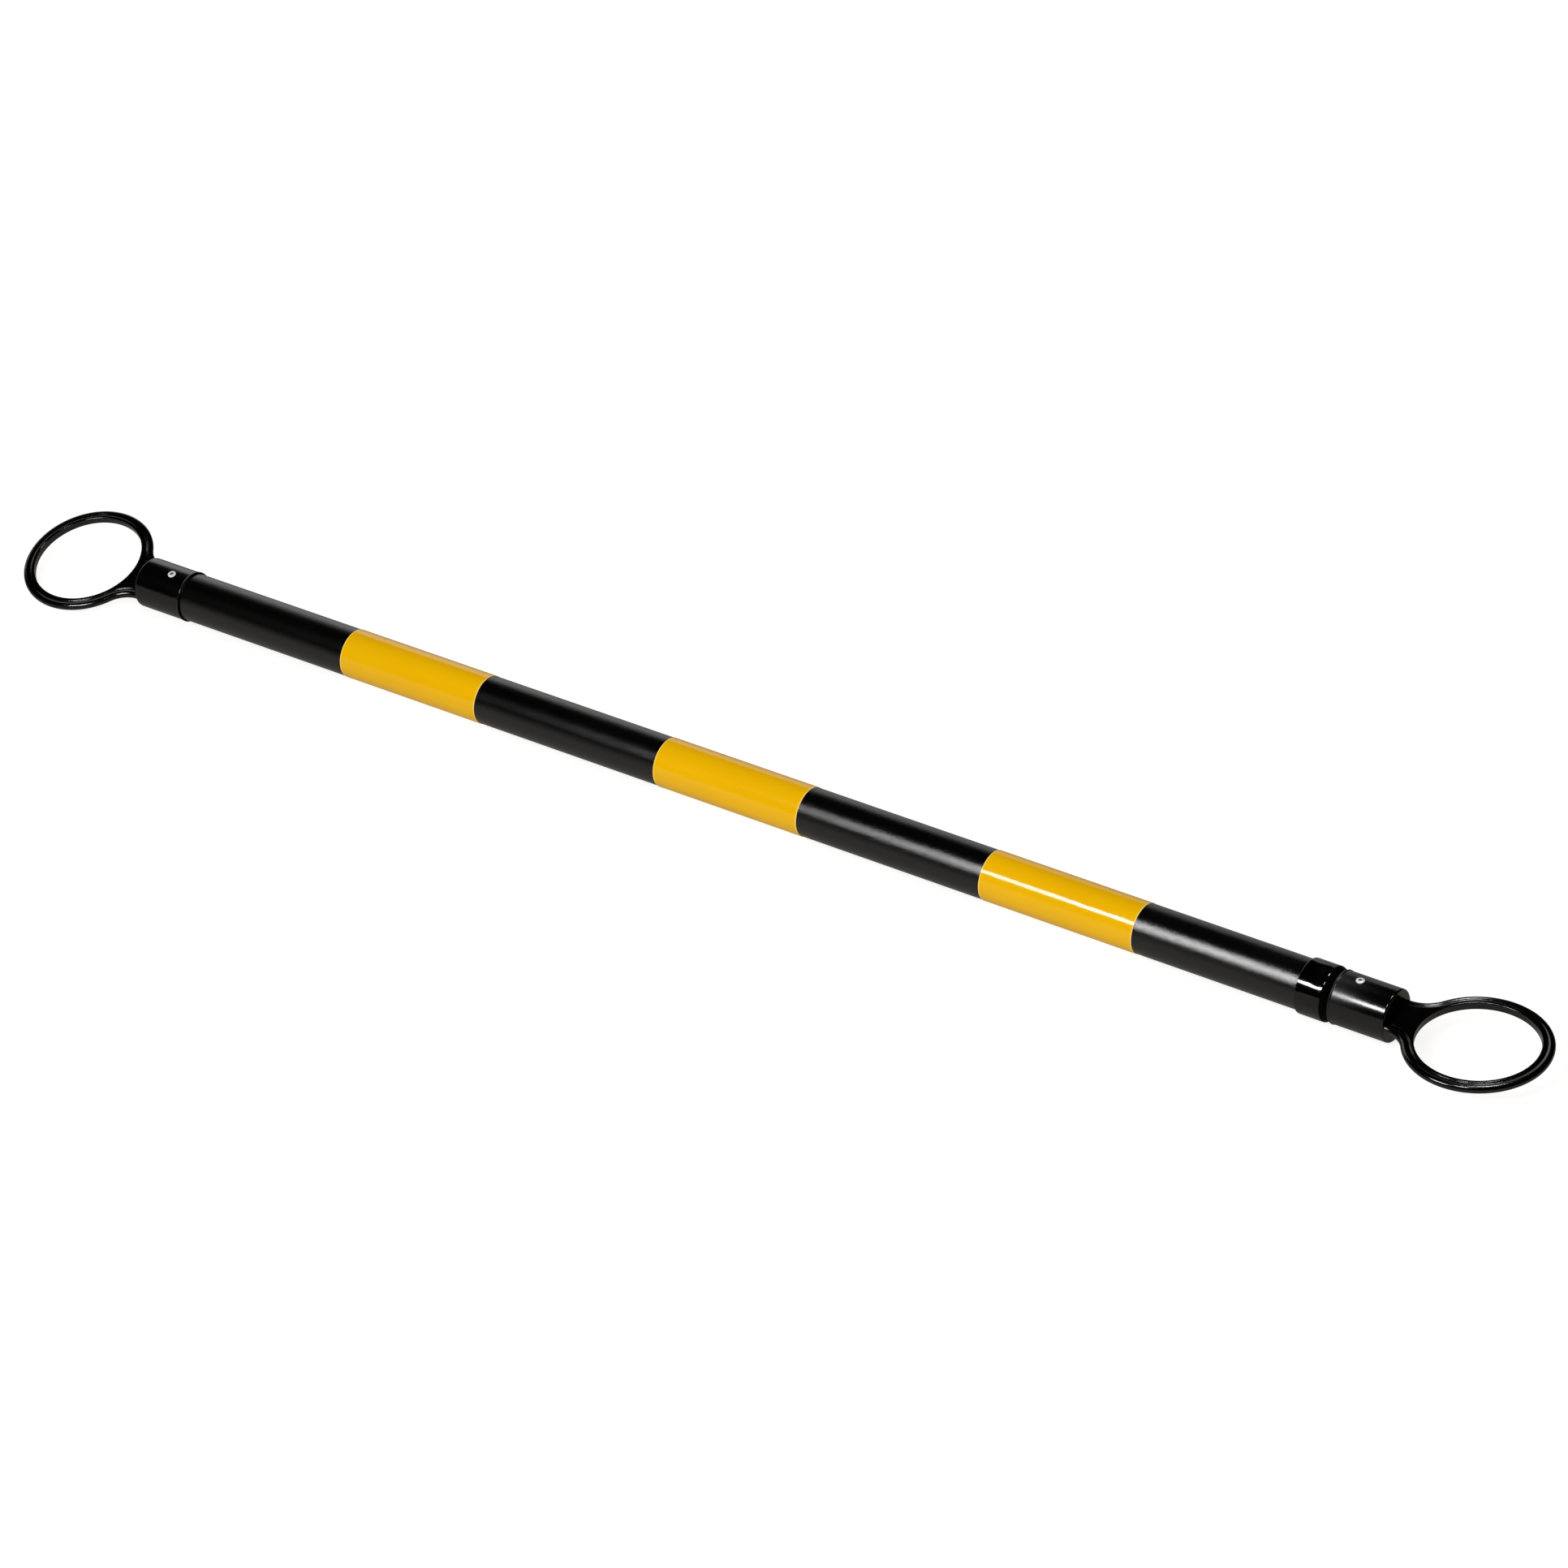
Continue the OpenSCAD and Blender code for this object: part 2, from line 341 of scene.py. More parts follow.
def yellowFilm(name, start, stop):
    material, paint = newPaint(name)
    point = paint.point()
    beads = paint.grain(point, film["beadSize"], detail=0)
    clouds = paint.grain(point, film["cloudSize"], detail=4)
    x = paint.axis(point, "X")
    width, core = film["edgeWidth"], film["edgeWidth"] * film["edgeCore"]
    # the band is paler at both cut ends: partly the film's own pale cut edge, partly a painted highlight
    paleEdgeAndHighlight = paint.ramp(x, start + width, start + core) + paint.ramp(x, stop - width, stop - core)
    patches = clouds * (1 - film["beadShare"]) + beads * film["beadShare"]
    tone = paint.mix(patches, film["deep"], film["bright"])
    paint.surface({
        "Base Color": paint.mix(paleEdgeAndHighlight, tone, film["edge"]),
        "Roughness": around(film["roughness"], clouds, film["cloudSwing"]),
        "IOR": film["ior"],
        "Normal": paint.bump(beads + clouds * film["cloudHeight"], film["beadDepth"]),
    })
    return material


aluminium = {
    "dull": (0.66, 0.665, 0.67, 1), "bright": (0.86, 0.865, 0.87, 1), "patchSize": 700,
    "shine": 0.35, "roughness": 0.45, "patchSwing": 0.3,
    "markSize": (900, 2600, 900), "markDepth": 0.00002,
}


def rivetMetal(name):
    material, paint = newPaint(name)
    point = paint.point()
    marks = paint.grain(point, aluminium["markSize"], detail=3)
    patches = paint.grain(point, aluminium["patchSize"], detail=3)
    paint.surface({
        "Base Color": paint.mix(patches, aluminium["dull"], aluminium["bright"]),
        "Metallic": aluminium["shine"],
        "Roughness": around(aluminium["roughness"], patches, aluminium["patchSwing"]),
        "Normal": paint.bump(marks, aluminium["markDepth"]),
    })
    return material


steel = {
    "dull": (0.035, 0.033, 0.031, 1), "bright": (0.16, 0.155, 0.15, 1),
    "roughness": 0.5, "breakSwing": 0.3, "breakSize": 2600, "breakDepth": 0.00006,
}


def brokenSteel(name):
    material, paint = newPaint(name)
    breaks = paint.grain(paint.point(), steel["breakSize"], detail=4)
    paint.surface({
        "Base Color": paint.mix(breaks, steel["dull"], steel["bright"]),
        "Metallic": 1.0,
        "Roughness": around(steel["roughness"], breaks, steel["breakSwing"]),
        "Normal": paint.bump(breaks, steel["breakDepth"]),
    })
    return material


nylon = {
    "shade": (0.66, 0.65, 0.60, 1), "light": (0.80, 0.79, 0.75, 1), "cloudSize": 60,
    "roughness": 0.42, "cloudSwing": 0.1, "turnedSize": (2200, 12, 12), "turnedDepth": 0.000012,
}


def whiteNylon(name):
    material, paint = newPaint(name)
    point = paint.point()
    clouds = paint.grain(point, nylon["cloudSize"], detail=4)
    turned = paint.grain(point, nylon["turnedSize"], detail=2)
    paint.surface({
        "Base Color": paint.mix(clouds, nylon["shade"], nylon["light"]),
        "Roughness": around(nylon["roughness"], clouds, nylon["cloudSwing"]),
        "Normal": paint.bump(turned, nylon["turnedDepth"]),
    })
    return material


# Modelling helpers: an outline is drawn in the XZ plane, X along the axis and Z the radius

mergeDistance = 1e-7
loopReach = 2e-6  # how near a vertex lies to the loop that it belongs to
sharpFrom = 33  # degrees between faces from which an edge stays sharp


def startAt(bm, along, radius):
    return bm.verts.new((along, 0, radius))


def moveOn(bm, vert, place):
    made = bmesh.ops.extrude_vert_indiv(bm, verts=[vert])["verts"][0]
    made.co = place
    return made


def lineTo(bm, vert, along, radius):
    return moveOn(bm, vert, (along, 0, radius))


def arcBy(bm, vert, centre, degrees, steps, axis=(0, 1, 0)):
    angle = math.radians(degrees)
    made = bmesh.ops.spin(bm, geom=[vert], cent=centre, axis=axis, angle=angle, steps=steps)
    return [g for g in made["geom_last"] if isinstance(g, bmesh.types.BMVert)][0]


def closeOutline(bm, first, last):
    bm.edges.new((last, first))


def fullTurn(bm, axis, steps):
    drawn = bm.verts[:] + bm.edges[:]
    bmesh.ops.spin(
        bm, geom=drawn, cent=(0, 0, 0), axis=axis, angle=2 * math.pi, steps=steps, use_merge=True
    )


def turnOutline(bm, steps):
    fullTurn(bm, alongX, steps)
    bmesh.ops.remove_doubles(bm, verts=bm.verts, dist=mergeDistance)


def roundLoop(bm, along, radius, size, segments):
    def onLoop(vert):
        out = math.hypot(vert.co.y, vert.co.z)
        return abs(vert.co.x - along) < loopReach and abs(out - radius) < loopReach

    chosen = [e for e in bm.edges if all(onLoop(v) for v in e.verts)]
    bmesh.ops.bevel(
        bm, geom=chosen, offset=size, segments=segments, profile=0.5, affect="EDGES", material=-1,
        clamp_overlap=True,
    )


def turnedTube(start, stop, radius, bore, edge):
    bm = bmesh.new()
    first = startAt(bm, start, bore)
    corner = lineTo(bm, first, start, radius)
    corner = lineTo(bm, corner, stop, radius)
    corner = lineTo(bm, corner, stop, bore)
    closeOutline(bm, first, corner)
    turnOutline(bm, turnSteps)
    roundLoop(bm, start, radius, edge, segments=2)
    roundLoop(bm, stop, radius, edge, segments=2)
    return bm


def looseObject(name, bm):
    bmesh.ops.recalc_face_normals(bm, faces=bm.faces)
    mesh = bpy.data.meshes.new(name)
    bm.to_mesh(mesh)
    bm.free()
    made = bpy.data.objects.new(name, mesh)
    bpy.context.scene.collection.objects.link(made)
    return made


def combine(target, tool, operation):
    cutter = target.modifiers.new("combine", "BOOLEAN")
    cutter.operation = operation
    cutter.solver = "EXACT"
    cutter.object = tool
    graph = bpy.context.evaluated_depsgraph_get()
    joined = bpy.data.meshes.new_from_object(target.evaluated_get(graph))
    target.modifiers.clear()
    target.data = joined
    bpy.data.objects.remove(tool)


def finishPiece(piece, node, material, matrix, sharpAngle=sharpFrom):
    piece.data.transform(matrix)
    piece.data.materials.clear()
    piece.data.materials.append(material)
    for face in piece.data.polygons:
        face.use_smooth = True
    piece.data.set_sharp_from_angle(angle=math.radians(sharpAngle))
    even = piece.modifiers.new("evenNormals", "WEIGHTED_NORMAL")
    even.keep_sharp = True
    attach(piece, frame["nodes"][node]["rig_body"])
    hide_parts(node)
    print("made", piece.name)


onAxis = Matrix.Translation((0, 0, axisHeight))


# Ring ends: plate with a bulging rim, hollow-curved web and socket cap

ringEnd = {
    "holeRadius": 0.044,
    "holeEdge": 0.0008,
    "holeSteps": 180,
    "ringRadius": 0.05327,
    "ringSteps": 160,
    "halfThickness": 0.003,
    "beadRadius": 0.00295,
    "beadWrap": 128,
    "beadSteps": 20,
    "grooveDepth": 0.0008,
    "grooveFloor": 0.0061,
    "grooveEdge": 0.0069,
    "grooveRound": 0.0003,
    "cornerFrom": 20,  # degrees between faces from which a corner of the groove is rounded
    "flat": 0.0006,
    "neck": 0.064,
    "webHalf": 0.019,
    "webSteps": 36,
    "capRadius": 0.0198,
    "capLength": 0.046,
    "capEnd": 0.006,
    "capEdge": 0.0014,
    "lipRadius": 0.0204,
    "lipRise": 0.001,
    "lipFall": 0.0022,
    "lipEnd": 0.01935,
    "lipEdge": 0.00045,
    "mouthEdge": 0.00012,
    "seatGap": 0.00005,
    "rivetFromMouth": 0.017,
    "rivetHole": 0.002,
    "drillLength": 0.02,
    "drillHeight": 0.018,
    "wear": {"fixed": 0.1, "sliding": 1},
}
mouth = ringEnd["neck"] + ringEnd["capLength"]
rivetPlace = mouth - ringEnd["rivetFromMouth"]


def rimSection(bm, apex, outward):
    halfT, floorHeight = ringEnd["halfThickness"], ringEnd["halfThickness"] - ringEnd["grooveDepth"]
    beadCentre = apex - outward * ringEnd["beadRadius"]
    first = bm.verts.new(apex)
    for side in (1, -1):
        wrap = -side * ringEnd["beadWrap"]
        vert = arcBy(bm, first, beadCentre, wrap, ringEnd["beadSteps"], up.cross(outward))
        for inward, height in (
            (ringEnd["grooveFloor"] - ringEnd["flat"], floorHeight),
            (ringEnd["grooveFloor"], floorHeight),
            (ringEnd["grooveEdge"], halfT),
            (ringEnd["grooveEdge"] + ringEnd["flat"], halfT),
        ):
            vert = moveOn(bm, vert, apex - outward * inward + up * side * height)


def spinOn(bm, geom, centre, degrees, steps):
    made = bmesh.ops.spin(bm, geom=geom, cent=centre, axis=up, angle=math.radians(degrees), steps=steps)
    return made["geom_last"]


def slideOn(bm, geom, distance):
    edges = [g for g in geom if isinstance(g, bmesh.types.BMEdge)]
    made = bmesh.ops.extrude_edge_only(bm, edges=edges)["geom"]
    verts = [g for g in made if isinstance(g, bmesh.types.BMVert)]
    bmesh.ops.translate(bm, verts=verts, vec=alongX * distance)
    return [g for g in made if not isinstance(g, bmesh.types.BMFace)]


def holeWall():
    halfT, edge, radius = ringEnd["halfThickness"], ringEnd["holeEdge"], ringEnd["holeRadius"]
    rounded = radius + edge
    bm = bmesh.new()
    corner = startAt(bm, rounded + ringEnd["flat"], halfT)
    corner = lineTo(bm, corner, rounded, halfT)
    corner = arcBy(bm, corner, (rounded, 0, halfT - edge), -90, steps=6)
    corner = lineTo(bm, corner, radius, -halfT + edge)
    corner = arcBy(bm, corner, (rounded, 0, -halfT + edge), -90, steps=6)
    lineTo(bm, corner, rounded + ringEnd["flat"], -halfT)
    fullTurn(bm, up, ringEnd["holeSteps"])
    wall = bpy.data.meshes.new("holeWall")
    bm.to_mesh(wall)
    bm.free()
    return wall


def ringPlate():
    neck, webHalf, ringR = ringEnd["neck"], ringEnd["webHalf"], ringEnd["ringRadius"]
    halfT, webSteps = ringEnd["halfThickness"], ringEnd["webSteps"]
    root = ringEnd["capEnd"] / 2
    webRound = (neck ** 2 + webHalf ** 2 - ringR ** 2) / (2 * (ringR - webHalf))
    webY = webHalf + webRound
    webAngle = math.degrees(math.atan2(webY, neck))
    bm = bmesh.new()

    # the rim's section runs out along one side of the web, round the ring and back along the other side
    rimSection(bm, Vector((neck + root, webHalf, 0)), Vector((0, 1, 0)))
    section = slideOn(bm, bm.verts[:] + bm.edges[:], -root)
    section = spinOn(bm, section, (neck, webY, 0), webAngle - 90, webSteps)
    section = spinOn(bm, section, (0, 0, 0), 360 - 2 * webAngle, ringEnd["ringSteps"])
    section = spinOn(bm, section, (neck, -webY, 0), webAngle - 90, webSteps)
    slideOn(bm, section, root)
    bmesh.ops.remove_doubles(bm, verts=bm.verts, dist=mergeDistance)
    cornerFrom = math.radians(ringEnd["cornerFrom"])
    corners = [e for e in bm.edges if e.is_manifold and e.calc_face_angle() > cornerFrom]
    bmesh.ops.bevel(
        bm, geom=corners, offset=ringEnd["grooveRound"], segments=3, profile=0.5, affect="EDGES",
        material=-1,
    )
    wall = holeWall()
    bm.from_mesh(wall)
    bpy.data.meshes.remove(wall)

    # flat faces between rim and hole, and the end that is hidden in the cap
    endReach = 1e-5

    def atEnd(vert):
        return vert.co.x > neck + root - endReach

    for side in (halfT, -halfT):
        def onSide(vert):
            return abs(vert.co.z - side) < mergeDistance

        border = [e for e in bm.edges if e.is_boundary and all(onSide(v) for v in e.verts)]
        border = [e for e in border if not all(atEnd(v) for v in e.verts)]
        corners = sorted((v for v in bm.verts if onSide(v) and atEnd(v)), key=lambda v: abs(v.co.y))
        border.append(bm.edges.new(corners[:2]))
        bmesh.ops.triangle_fill(bm, use_beauty=True, use_dissolve=False, edges=border)
    bmesh.ops.holes_fill(bm, edges=[e for e in bm.edges if e.is_boundary], sides=0)
    return looseObject("plate", bm)


def socketCap(socketRadius):
    neck, capR, lipR = ringEnd["neck"], ringEnd["capRadius"], ringEnd["lipRadius"]
    floor, crest = neck + ringEnd["capEnd"], mouth - ringEnd["lipFall"]
    lipStart, lipEnd = crest - ringEnd["lipRise"], ringEnd["lipEnd"]
    bm = bmesh.new()
    corner = startAt(bm, neck, 0)
    corner = lineTo(bm, corner, neck, capR)
    corner = lineTo(bm, corner, lipStart, capR)

    # the mouth flares to its lip in a hollow arc and then falls off to the tube
    bend = 2 * math.atan((lipR - capR) / ringEnd["lipRise"])
    flare = ringEnd["lipRise"] / math.sin(bend)
    corner = arcBy(bm, corner, (lipStart, 0, capR + flare), -math.degrees(bend), steps=3)
    for along, radius in ((mouth, lipEnd), (mouth, socketRadius), (floor, socketRadius), (floor, 0)):
        corner = lineTo(bm, corner, along, radius)
    turnOutline(bm, turnSteps)
    roundLoop(bm, neck, capR, ringEnd["capEdge"], segments=6)
    roundLoop(bm, crest, lipR, ringEnd["lipEdge"], segments=4)
    roundLoop(bm, mouth, lipEnd, ringEnd["mouthEdge"], segments=2)
    return looseObject("cap", bm)


def rivetDrill():
    radius = ringEnd["rivetHole"]
    bm = bmesh.new()
    bmesh.ops.create_cone(
        bm, cap_ends=True, segments=40, radius1=radius, radius2=radius, depth=ringEnd["drillLength"],
        matrix=Matrix.Translation((rivetPlace, 0, ringEnd["drillHeight"])),
    )
    return looseObject("drill", bm)


def endMatrix(lean, ringX, turned):
    place = Matrix.Translation((ringX, 0, axisHeight)) @ Matrix.Rotation(lean, 4, "X")
    return place @ Matrix.Rotation(math.pi, 4, "Z") if turned else place


endPlaces = {}
for mount in frame["record"]["mounts"]:
    lean = math.atan2(mount["axis"][1], -mount["axis"][2])
    ringX = mount["pos_m"][0]
    endPlaces[mount["name"].replace("_ring", "")] = endMatrix(lean, ringX, ringX > 0)


def makeRingEnd(end, tube):
    inward = (endPlaces[end].to_3x3() @ -alongX).x
    mouthX = (endPlaces[end] @ (alongX * mouth)).x
    crestX = mouthX + inward * (ringEnd["lipFall"] - ringEnd["lipEdge"])
    material = mouldedBlack(end + "Black", mouthX, crestX, inward, ringEnd["wear"][end])
    piece = ringPlate()
    combine(piece, socketCap(tube["radius"] + ringEnd["seatGap"]), "UNION")
    combine(piece, rivetDrill(), "DIFFERENCE")
    piece.name = end + "RingEnd"
    finishPiece(piece, end + "_ring_cap", material, endPlaces[end])


# Blind rivets, drawn about X with the bar's axis at the origin and then stood up

rivet = {
    "headRadius": 0.0032, "headHeight": 0.0011, "rimHeight": 0.0004, "skirt": 0.0003,
    "shankRadius": 0.00195, "bulbRadius": 0.0029, "bulbHeight": 0.0024, "holeRadius": 0.0014,
    "rimRound": 0.00014, "holeRound": 0.00016, "steps": 64,
}
stem = {
    "radius": 0.00135, "sunk": 0.0005, "chamfer": 0.00025, "nib": 0.0002, "nibShare": 0.5,
    "rough": 0.00006, "roughSize": 2500, "steps": 40, "sharpFrom": 50,
}


def standAt(end):
    stand = Matrix.Translation((rivetPlace, 0, 0)) @ Matrix.Rotation(-math.pi / 2, 4, "Y")
    return endPlaces[end] @ stand


def makeRivet(end, tubeBore, material):
    seat = ringEnd["capRadius"]
    foot, holeR = tubeBore - rivet["bulbHeight"], rivet["holeRadius"]
    dome = rivet["headHeight"] - rivet["rimHeight"]
    domeRound = (rivet["headRadius"] ** 2 + dome ** 2) / (2 * dome)
    centre = seat + rivet["headHeight"] - domeRound
    inner = math.asin(holeR / domeRound)
    outer = math.asin(rivet["headRadius"] / domeRound)
    bm = bmesh.new()
    first = startAt(bm, foot, holeR)
    crown = lineTo(bm, first, centre + domeRound * math.cos(inner), holeR)
    rim = arcBy(bm, crown, (centre, 0, 0), -math.degrees(outer - inner), steps=6)
    crownPlace, rimPlace = crown.co.copy(), rim.co.copy()
    corner = rim
    for along, radius in (
        (seat - rivet["skirt"], rivet["headRadius"]), (seat - rivet["skirt"], rivet["shankRadius"]),
        (tubeBore, rivet["shankRadius"]), (tubeBore, rivet["bulbRadius"]), (foot, rivet["bulbRadius"]),
    ):
        corner = lineTo(bm, corner, along, radius)
    closeOutline(bm, first, corner)
    turnOutline(bm, rivet["steps"])
    roundLoop(bm, crownPlace.x, crownPlace.z, rivet["holeRound"], segments=3)
    roundLoop(bm, rimPlace.x, rimPlace.z, rivet["rimRound"], segments=3)
    piece = looseObject(end + "Rivet", bm)
    finishPiece(piece, end + "_rivet", material, standAt(end))


def makeStem(end, tubeBore, material):
    top = ringEnd["capRadius"] + rivet["headHeight"] - stem["sunk"]
    foot, radius, chamfer = tubeBore - rivet["bulbHeight"], stem["radius"], stem["chamfer"]
    bm = bmesh.new()
    corner = startAt(bm, foot, 0)
    for along, out in (
        (foot, radius), (top - chamfer, radius), (top, radius - chamfer),
        (top, radius * stem["nibShare"]), (top + stem["nib"], 0),
    ):
        corner = lineTo(bm, corner, along, out)
    turnOutline(bm, stem["steps"])
    for vert in bm.verts:
        if vert.co.x > top - chamfer / 2:
            vert.co.x += stem["rough"] * noise.noise(vert.co * stem["roughSize"])
    piece = looseObject(end + "RivetStem", bm)
    finishPiece(piece, end + "_rivet_stem", material, standAt(end), stem["sharpFrom"])


# Tubes

outerTube = {"radius": 0.019, "bore": 0.0172, "edge": 0.0003, "scuffs": 0.15}
innerTube = {"radius": 0.016, "bore": 0.0142, "edge": 0.0003, "scuffs": 1.0}


def makeTube(name, node, tube, end, material):
    low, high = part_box(node)
    bm = turnedTube(low.x, high.x, tube["radius"], tube["bore"], tube["edge"])
    piece = looseObject(name, bm)
    piece.data.transform(onAxis)
    drill = rivetDrill()
    drill.data.transform(endPlaces[end])
    combine(piece, drill, "DIFFERENCE")
    finishPiece(piece, node, material, Matrix.Identity(4))


# Yellow film bands, with a lap where the strip closes on itself

band = {
    "radius": 0.01935, "inside": 0.01905, "edge": 0.00012,
    "lapAngle": 205, "lapWidth": 22, "lapHeight": 0.00008, "lapReach": 0.00005,
}


def makeBand(number):
    node = "band_%d" % number
    low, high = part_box(node)
    single = band["radius"] - band["lapHeight"]
    bm = turnedTube(low.x, high.x, single, band["inside"], band["edge"])

    def inLap(face):
        centre = face.calc_center_median()
        angle = math.degrees(math.atan2(-centre.y, centre.z)) % 360
        outside = math.hypot(centre.y, centre.z) > single - band["lapReach"]
        return outside and abs(angle - band["lapAngle"]) < band["lapWidth"] / 2

    raised = bmesh.ops.extrude_face_region(bm, geom=[f for f in bm.faces if inLap(f)])["geom"]
    grow = band["radius"] / single
    verts = [g for g in raised if isinstance(g, bmesh.types.BMVert)]
    bmesh.ops.scale(bm, verts=verts, vec=(1, grow, grow))
    piece = looseObject("band%d" % number, bm)
    material = yellowFilm("yellowFilm%d" % number, low.x, high.x)
    finishPiece(piece, node, material, onAxis)


# Collar: soft glossy sleeve with a rounded nose

collar = {
    "radius": 0.02085, "seat": 0.01905, "bore": 0.0163, "seatLength": 0.0185, "edge": 0.0007,
    "noseCurve": 0.0045, "noseEnd": 0.01785, "noseLean": 20, "crest": 0.0005,
    "rows": 5, "wobble": 0.00010, "wobbleAlong": 70, "wobbleRound": 1.6, "wobbleFrom": 0.0002,
}
noseStart = collarHigh.x - collar["noseCurve"]


def makeCollar(material):
    start, stop = collarLow.x, collarHigh.x
    step = start + collar["seatLength"]
    drop = collar["radius"] - collar["noseEnd"]
    chord = math.atan2(drop, collar["noseCurve"])
    lean = math.radians(collar["noseLean"])
    noseRound = math.hypot(drop, collar["noseCurve"]) / 2 / math.sin(chord - lean)
    bm = bmesh.new()
    first = startAt(bm, start, collar["seat"])
    corner = lineTo(bm, first, start, collar["radius"])
    for row in range(1, collar["rows"] + 1):
        share = row / collar["rows"]
        corner = lineTo(bm, corner, start + (noseStart - start) * share, collar["radius"])
    centre = (noseStart - noseRound * math.sin(lean), 0, collar["radius"] - noseRound * math.cos(lean))
    corner = arcBy(bm, corner, centre, math.degrees(2 * (chord - lean)), steps=6)
    for along, radius in ((stop, collar["bore"]), (step, collar["bore"]), (step, collar["seat"])):
        corner = lineTo(bm, corner, along, radius)
    closeOutline(bm, first, corner)
    turnOutline(bm, turnSteps)
    roundLoop(bm, start, collar["radius"], collar["edge"], segments=5)
    roundLoop(bm, noseStart, collar["radius"], collar["crest"], segments=4)

    # the soft sleeve's outside dips a little here and there
    for vert in bm.verts:
        radius = math.hypot(vert.co.y, vert.co.z)
        if radius > collar["seat"] + collar["wobbleFrom"]:
            turn = collar["wobbleRound"]
            spot = Vector((
                vert.co.x * collar["wobbleAlong"], vert.co.y / radius * turn, vert.co.z / radius * turn
            ))
            shrink = 1 - collar["wobble"] * (0.5 + 0.5 * noise.noise(spot)) / radius
            vert.co.y *= shrink
            vert.co.z *= shrink
    piece = looseObject("endCollar", bm)
    finishPiece(piece, "end_collar", material, onAxis)


# Studio: pale floor and white surroundings, of which gloss mirrors only a pale strip behind the bar

studio = {
    "floorSize": 16,
    "floorTone": (0.30, 0.298, 0.291, 1),
    "floorPatch": 1.01,
    "floorPatchSize": 3,
    "floorSeen": 0.84,
    "floorMirrored": 0.10,
    "floorBounce": 0.44,
    "floorWarmth": (1.0, 0.96, 0.80, 1),
    "sky": 0.52,
    "skyTint": (1.0, 0.95, 0.88, 1),
    "strip": 1.15,
    "stripTop": 0.56,
    "stripEdge": 0.04,
    "stripSlant": 0.64,
    "stripPivot": 0.6,
    "stripDepth": (0.0, 0.2),
    "stripFade": (-0.20, -0.62),
    "stripFoot": 0.45,
    "stripRise": (0.0, 0.4),
}

# one lamp draws the streak on gloss, one lights the bar evenly and two set glints on edges
lamps = {
    "streak": {
        "place": (-0.79, -2.352, 1.893), "size": (1.2, 0.5), "power": 60, "lights": False, "mirrored": True,
    },
    "broad": {
        "place": (0.3, -2.352, 1.893), "size": (1.4, 0.9), "power": 54, "lights": True, "mirrored": False,
    },
    "glintBack": {
        "place": (0.39, 0.49, 2.0), "size": (0.35, 0.35), "power": 13, "lights": False, "mirrored": True,
    },
    "glintFront": {
        "place": (0.52, -1.10, 2.0), "size": (0.35, 0.35), "power": 13, "lights": False, "mirrored": True,
    },
}


def makeFloor():
    bm = bmesh.new()
    bmesh.ops.create_grid(bm, x_segments=1, y_segments=1, size=studio["floorSize"] / 2)
    floor = looseObject("floor", bm)
    material, paint = newPaint("paleFloor")
    camera, glossy, through, other = paint.rays()
    seen = (camera + through) * studio["floorSeen"] + glossy * studio["floorMirrored"]
    seen = seen + other * studio["floorBounce"]
    mottle = paint.grain(paint.point(), studio["floorPatchSize"], detail=3)
    patch = tuple(level * studio["floorPatch"] for level in studio["floorTone"])
    tone = paint.mix(mottle, studio["floorTone"], patch)
    matte = paint.node("ShaderNodeBsdfDiffuse", {}, {"Color": tone})
    glow = paint.mix(glossy, grey(1), studio["floorWarmth"])
    lift = paint.node("ShaderNodeEmission", {}, {"Color": glow, "Strength": seen})
    paint.finish(paint.node("ShaderNodeAddShader", {}, {0: matte, 1: lift}))
    material.cycles.emission_sampling = "NONE"
    floor.data.materials.append(material)


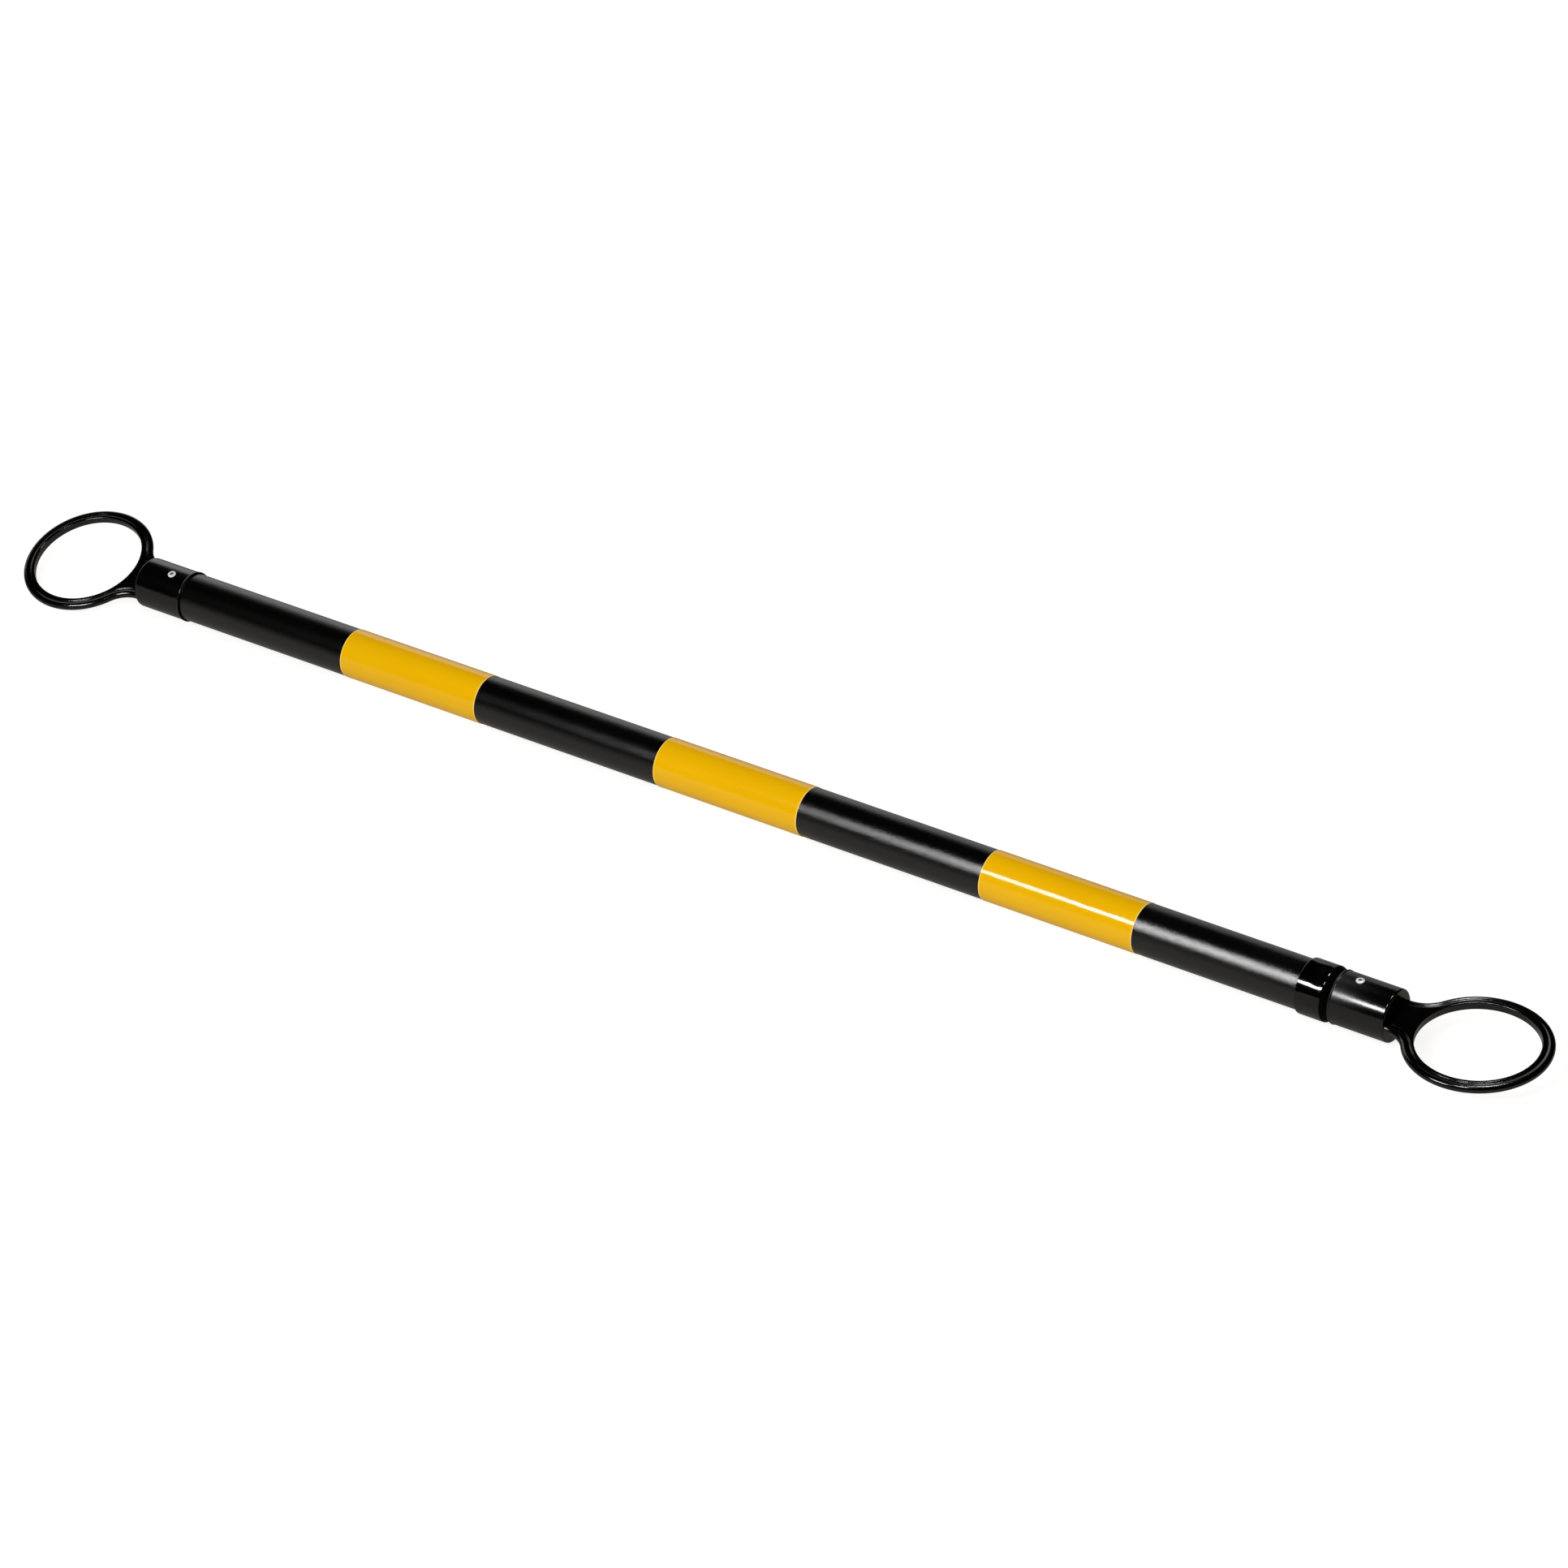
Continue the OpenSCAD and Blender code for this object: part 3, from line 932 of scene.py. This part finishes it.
def lightStudio():
    world = bpy.data.worlds.new("studio")
    world.use_nodes = True
    world.cycles.sampling_method = "NONE"  # each ray then reads its own level below
    bpy.context.scene.world = world
    paint = Paint(world.node_tree)
    camera, glossy, through, other = paint.rays()
    heading = paint.node("ShaderNodeTexCoord", {}, {}, "Generated")
    side, depth, height = [paint.axis(heading, letter) for letter in "XYZ"]
    top, edge, foot = studio["stripTop"], studio["stripEdge"], studio["stripFoot"]
    leaning = height + (side + studio["stripPivot"]) * studio["stripSlant"]
    strip = paint.ramp(leaning, top + edge, top - edge) * paint.ramp(depth, *studio["stripDepth"])
    strip = strip * paint.ramp(side, *studio["stripFade"])
    strip = strip * (foot + paint.ramp(height, *studio["stripRise"]) * (1 - foot))
    level = camera + through + glossy * strip * studio["strip"] + other * studio["sky"]
    tint = paint.mix(other, grey(1), studio["skyTint"])
    sky = paint.node("ShaderNodeBackground", {}, {"Color": tint, "Strength": level})
    paint.node("ShaderNodeOutputWorld", {}, {"Surface": sky})

    for name, lamp in lamps.items():
        data = bpy.data.lights.new(name, "AREA")
        data.shape = "RECTANGLE"
        data.size, data.size_y = lamp["size"]
        data.energy = lamp["power"]
        softbox = bpy.data.objects.new(name, data)
        softbox.location = lamp["place"]
        aim = Vector((lamp["place"][0], 0, axisHeight)) - Vector(lamp["place"])
        softbox.rotation_euler = aim.to_track_quat("-Z", "Y").to_euler()
        softbox.visible_camera = False
        softbox.visible_diffuse = lamp["lights"]
        softbox.visible_glossy = lamp["mirrored"]
        bpy.context.scene.collection.objects.link(softbox)
    bpy.context.scene.view_settings.view_transform = "Standard"


placeCamera()
makeFloor()
lightStudio()
print("studio ready")

metalFinish = rivetMetal("rivetMetal")
steelFinish = brokenSteel("brokenSteel")
makeTube("outerTube", "outer_tube", outerTube, "fixed", satinTube("outerSatin", outerTube["scuffs"]))
makeTube("innerTube", "inner_tube", innerTube, "sliding", satinTube("innerSatin", innerTube["scuffs"]))
for number in (1, 2, 3):
    makeBand(number)
makeCollar(glossyVinyl("glossyVinyl", noseStart))
for end, tube in (("fixed", outerTube), ("sliding", innerTube)):
    makeRingEnd(end, tube)
    makeRivet(end, tube["bore"], metalFinish)
    makeStem(end, tube["bore"], steelFinish)

nylonFinish = whiteNylon("whiteNylon")
for node in ("guide_bush", "inner_end_plug"):
    frame["nodes"][node].material_slots[0].material = nylonFinish
print("all pieces made")
